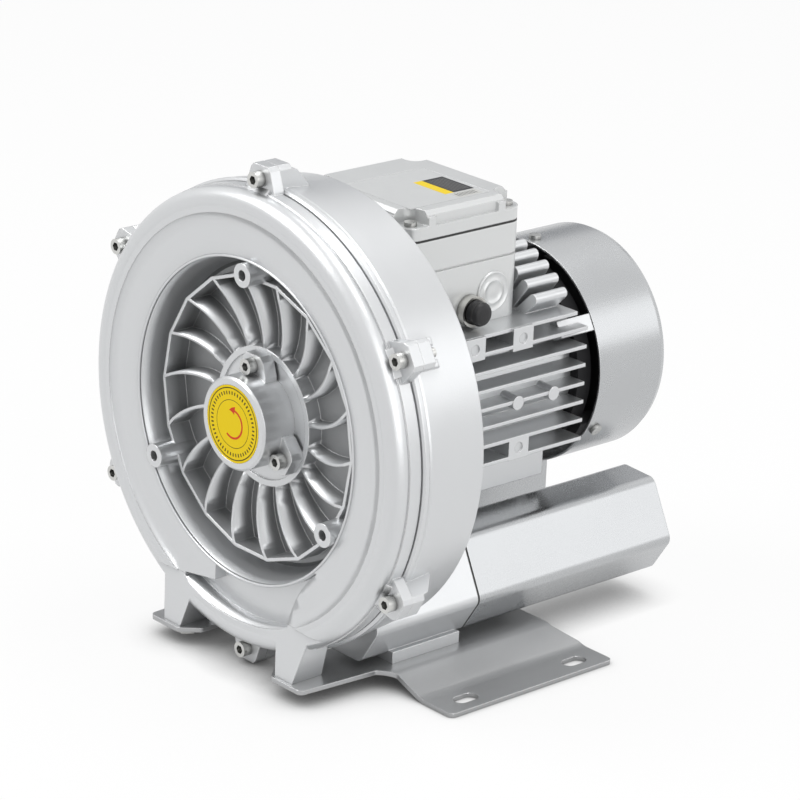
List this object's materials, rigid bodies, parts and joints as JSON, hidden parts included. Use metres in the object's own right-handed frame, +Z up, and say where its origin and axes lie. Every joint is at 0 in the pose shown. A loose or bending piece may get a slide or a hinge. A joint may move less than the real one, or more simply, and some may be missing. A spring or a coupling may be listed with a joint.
{
  "type": "side channel blower",
  "caption": "Side channel blower with a ribbed aluminium cover, finned motor, terminal box, two silencer tubes and slotted base plates.",
  "frame": {"origin": "on the floor, under the middle of the bounding box", "axes": "+Z up, -Y towards the ribbed cover, +Y towards the motor's fan, +X right seen from the cover"},
  "size_m": [0.296, 0.307, 0.325],
  "materials": {
    "silver_paint": "satin",
    "zinc_steel": "satin",
    "label_yellow": "gloss",
    "bearing_steel": "gloss",
    "black_rubber": "matte",
    "bare_aluminium": "satin",
    "core_steel": "satin",
    "copper_winding": "satin",
    "dark_shield": "matte",
    "black_plastic": "matte",
    "plate_black": "satin",
    "board_brown": "matte",
    "brass": "satin",
    "nickel": "gloss",
    "foam_grey": "matte"
  },
  "bodies": {
    "frame": {"front_cover": "silver_paint", "rear_casing": "silver_paint", "cover_screws": "zinc_steel", "bearing_cap": "silver_paint", "bearing_cap_screws": "zinc_steel", "label_disc": "label_yellow", "front_bearing_outer": "bearing_steel", "rear_bearing_outer": "bearing_steel", "wave_spring": "zinc_steel", "shaft_seal": "black_rubber", "stator_core": "core_steel", "stator_windings": "copper_winding", "motor_housing": "silver_paint", "motor_flange_bolts": "zinc_steel", "end_shield": "dark_shield", "end_shield_screws": "zinc_steel", "fan_cover": "silver_paint", "fan_cover_screws": "zinc_steel", "terminal_box": "silver_paint", "lid_gasket": "black_rubber", "terminal_lid": "silver_paint", "lid_screws": "zinc_steel", "name_plate": "plate_black", "terminal_board": "board_brown", "terminal_studs": "brass", "gland_body": "nickel", "gland_lock_nut": "nickel", "gland_plug": "black_plastic", "knockout_plug": "silver_paint", "base_front_bolts": "zinc_steel", "base_rear_bolts": "zinc_steel", "silencer_tube_left": "silver_paint", "silencer_tube_right": "silver_paint", "silencer_end_left": "silver_paint", "silencer_end_right": "silver_paint", "silencer_foam_left": "foam_grey", "silencer_foam_right": "foam_grey", "silencer_gasket_left": "black_rubber", "silencer_gasket_right": "black_rubber", "base_plate_left": "silver_paint", "base_plate_right": "silver_paint"},
    "rotor": {"motor_shaft": "bearing_steel", "impeller": "bare_aluminium", "impeller_key": "zinc_steel", "spacer_sleeve": "zinc_steel", "shaft_nut": "zinc_steel", "rotor_core": "core_steel", "cooling_fan": "black_plastic", "fan_clip": "zinc_steel", "front_bearing_inner": "bearing_steel", "rear_bearing_inner": "bearing_steel"},
    "front_ball_set": {"front_bearing_balls": "bearing_steel"},
    "rear_ball_set": {"rear_bearing_balls": "bearing_steel"}
  },
  "joints": [
    {"name": "rotor_spin", "type": "hinge", "parent": "frame", "child": "rotor", "pos_m": [0, -0.127, 0.1635], "axis": [0, 1, 0], "continuous": true},
    {"name": "front_balls_roll", "type": "hinge", "parent": "frame", "child": "front_ball_set", "pos_m": [0, -0.127, 0.1635], "axis": [0, 1, 0], "continuous": true},
    {"name": "rear_balls_roll", "type": "hinge", "parent": "frame", "child": "rear_ball_set", "pos_m": [0, -0.127, 0.1635], "axis": [0, 1, 0], "continuous": true}
  ],
  "couplings": [
    {"joint": "front_balls_roll", "follows": "rotor_spin", "ratio": 0.41},
    {"joint": "rear_balls_roll", "follows": "rotor_spin", "ratio": 0.41}
  ]
}
